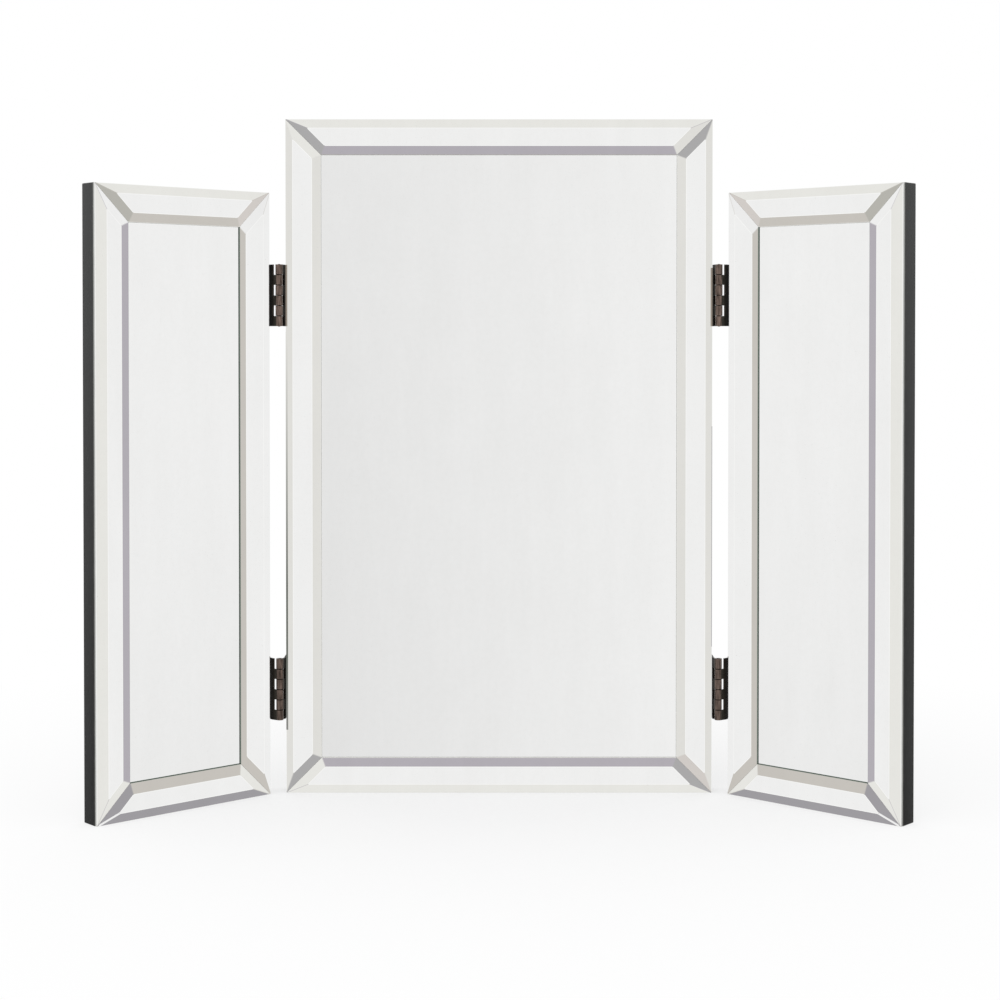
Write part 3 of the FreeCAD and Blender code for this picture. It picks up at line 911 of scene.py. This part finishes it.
def screw_rows():
    """Geometry nodes that set an upright row of screws on every point, driven the way the point aims."""
    tree, given, out = new_group(
        "GeometryNodeTree", "screw_rows",
        (("Leaves", "NodeSocketGeometry"), ("Screw", "NodeSocketObject"), ("Count", "NodeSocketInt"),
         ("Pitch", "NodeSocketFloat"), ("Turn", "NodeSocketFloat"), ("Finish", "NodeSocketMaterial")),
        (("Screws", "NodeSocketGeometry"),))
    steps = arithmetic(tree, "SUBTRACT", given.outputs["Count"], 1.0)
    reach = arithmetic(tree, "MULTIPLY", steps, given.outputs["Pitch"])
    below = add(tree, "ShaderNodeCombineXYZ", {"Z": arithmetic(tree, "MULTIPLY", reach, -0.5)})
    step = add(tree, "ShaderNodeCombineXYZ", {"Z": given.outputs["Pitch"]})
    row = add(tree, "GeometryNodeMeshLine", {"Count": given.outputs["Count"],
                                             "Start Location": below.outputs[0], "Offset": step.outputs[0]})
    rows = add(tree, "GeometryNodeInstanceOnPoints", {"Points": given.outputs["Leaves"],
                                                      "Instance": row.outputs["Mesh"]})
    places = add(tree, "GeometryNodeRealizeInstances", {"Geometry": rows.outputs["Instances"]})
    aim = add(tree, "GeometryNodeInputNamedAttribute", {"Name": "aim"}, data_type="FLOAT_VECTOR")
    driven = add(tree, "FunctionNodeAlignRotationToVector", {"Vector": aim.outputs["Attribute"]}, axis="X")
    roll = add(tree, "FunctionNodeRandomValue", {3: given.outputs["Turn"], "Seed": SCREW_SEED},
               data_type="FLOAT")
    rolled = add(tree, "FunctionNodeAxisAngleToRotation", {"Axis": (1.0, 0.0, 0.0),
                                                           "Angle": roll.outputs[1]})
    turned = add(tree, "FunctionNodeRotateRotation", {"Rotation": driven.outputs[0],
                                                      "Rotate By": rolled.outputs[0]},
                 rotation_space="LOCAL")
    screw = add(tree, "GeometryNodeObjectInfo", {"Object": given.outputs["Screw"]})
    screws = add(tree, "GeometryNodeInstanceOnPoints", {"Points": places.outputs["Geometry"],
                                                        "Instance": screw.outputs["Geometry"],
                                                        "Rotation": turned.outputs[0]})
    solid = add(tree, "GeometryNodeRealizeInstances", {"Geometry": screws.outputs["Instances"]})
    finished = add(tree, "GeometryNodeSetMaterial", {"Geometry": solid.outputs["Geometry"],
                                                     "Material": given.outputs["Finish"]})
    tree.links.new(finished.outputs["Geometry"], out.inputs["Screws"])
    return tree


def make_screws(node, tree, screw):
    """All the screws of one panel, a row on each of its leaves, as one plain mesh."""
    body = frame["nodes"][node]["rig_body"]
    spots = []
    aims = []
    for leaf in sorted(frame["nodes"]):
        if not leaf.endswith("_leaf") or frame["nodes"][leaf]["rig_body"] != body:
            continue
        place, side = leaf_place(leaf)
        low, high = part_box(leaf)
        spots.append(place @ Vector((side * SCREW_ASIDE, SCREW_BACK, (low.z + high.z) / 2)))
        aims.append(place.to_3x3() @ Vector((side, 0.0, 0.0)))
    points = bpy.data.meshes.new("leaf_points")
    points.from_pydata(spots, [], [])
    aim = points.attributes.new("aim", "FLOAT_VECTOR", "POINT")
    for number, direction in enumerate(aims):
        aim.data[number].vector = direction
    holder = new_object("screw_holder", points)
    modifier = holder.modifiers.new("screw_rows", "NODES")
    modifier.node_group = tree
    settings = {"Screw": screw, "Count": SCREWS_IN_ROW, "Pitch": SCREW_SPACING, "Turn": 2 * math.pi,
                "Finish": screw_bronze}
    for socket in tree.interface.items_tree:
        if socket.name in settings:
            modifier[socket.identifier] = settings[socket.name]
    evaluated = holder.evaluated_get(bpy.context.evaluated_depsgraph_get())
    mesh = bpy.data.meshes.new_from_object(evaluated)
    mesh.name = node + "_bronze"
    mesh.attributes.remove(mesh.attributes["aim"])
    holder.modifiers.remove(modifier)
    bpy.data.objects.remove(holder)
    keep_piece(mesh, node)


# All the pieces; the pins keep their solids
screw = new_object("wood_screw", screw_mesh())
rows_of_screws = screw_rows()
for node, solid in frame["nodes"].items():
    if node.endswith("_strip"):
        make_strip(node, solid["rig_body"])
    elif node.endswith("_plate"):
        make_plate(node, solid["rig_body"])
    elif node.endswith("_board"):
        make_board(node, solid["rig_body"])
    elif node.endswith("_leaf"):
        make_leaf(node)
    elif node.endswith("_screws"):
        make_screws(node, rows_of_screws, screw)
    else:
        solid.data.materials.clear()
        solid.data.materials.append(pin_bronze)
bpy.data.objects.remove(screw)

# Studio
OVERHEAD_WALL = (0.70, 0.69, 0.72, 1.0)
COOL_LIGHT = (0.99, 0.995, 1.0, 1.0)
TABLE_WHITE = (0.945, 0.945, 0.945, 1.0)
TABLE_SHADE = (0.93, 0.93, 0.93, 1.0)
# The table runs out to plain white between these distances from the object's middle.
TABLE_NEAR = 0.1
TABLE_FAR = 0.7
TABLE_HALF_SIZE = 30.0


def ray_kinds(tree):
    """1 for rays straight from the camera, and 1 for rays by way of a mirror or glass."""
    rays = add(tree, "ShaderNodeLightPath").outputs
    shiny = arithmetic(tree, "MAXIMUM", rays["Is Glossy Ray"], rays["Is Transmission Ray"])
    return rays["Is Camera Ray"], shiny


def white_studio():
    """White all round for the camera, walls that dim overhead in the mirrors, and even light."""
    world = bpy.data.worlds.new("white_studio")
    world.use_nodes = True
    tree = world.node_tree
    tree.nodes.clear()
    direction = add(tree, "ShaderNodeTexCoord").outputs["Generated"]
    height = add(tree, "ShaderNodeSeparateXYZ", {0: direction}).outputs["Z"]
    steepness = add(tree, "ShaderNodeMath", {0: height}, operation="ABSOLUTE").outputs[0]
    overhead = remap(tree, steepness, low=0.30, high=0.95)
    walls = blend(tree, overhead, WHITE, OVERHEAD_WALL)
    seen = add(tree, "ShaderNodeBackground", {"Color": WHITE, "Strength": 1.0})
    mirrored = add(tree, "ShaderNodeBackground", {"Color": walls, "Strength": 1.0})
    lighting = add(tree, "ShaderNodeBackground", {"Color": COOL_LIGHT, "Strength": 0.95})
    from_camera, shiny = ray_kinds(tree)
    indirect = add(tree, "ShaderNodeMixShader", {0: shiny, 1: lighting.outputs[0], 2: mirrored.outputs[0]})
    shown = add(tree, "ShaderNodeMixShader", {0: from_camera, 1: indirect.outputs[0], 2: seen.outputs[0]})
    add(tree, "ShaderNodeOutputWorld", {"Surface": shown.outputs[0]})
    return world


def white_table():
    """White table top that takes the shadow and runs out to plain white away from the object."""
    material, tree, shader, place = new_finish("white_table")
    cloud = use_group(tree, mottle, {"Vector": place, "Scale": 2.0, "Fine": 0.3})
    tree.links.new(blend(tree, cloud, TABLE_SHADE, TABLE_WHITE), shader.inputs["Base Color"])
    shader.inputs["Roughness"].default_value = 0.9
    shader.inputs["Specular IOR Level"].default_value = 0.1
    distance = add(tree, "ShaderNodeVectorMath", {0: place}, operation="LENGTH").outputs["Value"]
    away = remap(tree, distance, low=TABLE_NEAR, high=TABLE_FAR, to_low=0.6)
    from_camera, shiny = ray_kinds(tree)
    plain = arithmetic(tree, "MAXIMUM", shiny, arithmetic(tree, "MULTIPLY", away, from_camera))
    glow = add(tree, "ShaderNodeEmission", {"Color": WHITE, "Strength": 1.0})
    lightened = add(tree, "ShaderNodeMixShader", {0: plain, 1: shader.outputs["BSDF"], 2: glow.outputs[0]})
    output = next(item for item in tree.nodes if item.type == "OUTPUT_MATERIAL")
    tree.links.new(lightened.outputs[0], output.inputs["Surface"])
    return material


scene = bpy.context.scene
scene.view_settings.view_transform = "Standard"
scene.world = white_studio()

floor_shape = bmesh.new()
bmesh.ops.create_grid(floor_shape, x_segments=1, y_segments=1, size=TABLE_HALF_SIZE)
floor = new_object("floor", to_mesh(floor_shape, "floor", Matrix.Identity(4), (white_table(),)))

softbox = bpy.data.lights.new("softbox", "AREA")
softbox.shape = "RECTANGLE"
softbox.size = 2.6
softbox.size_y = 2.0
softbox.energy = 16.0
softbox_stand = new_object("softbox", softbox)
softbox_stand.location = (-1.1, -1.7, 2.6)
towards_mirror = Vector((0.0, 0.0, 0.25)) - softbox_stand.location
softbox_stand.rotation_euler = towards_mirror.to_track_quat("-Z", "Y").to_euler()
softbox_stand.visible_glossy = False

# Camera, fitted to the corners of the three panels
camera = bpy.data.cameras.new("camera")
camera.sensor_width = 36.0
camera.lens = 69.521
camera.shift_y = -0.13
camera.clip_start = 0.05
camera.clip_end = 200.0
camera_stand = new_object("camera", camera)
camera_stand.location = (0.0008, -1.5835, 0.37235)
looking_down = math.radians(0.965)
camera_stand.rotation_euler = (math.pi / 2 - looking_down, 0.0, 0.0)
scene.camera = camera_stand
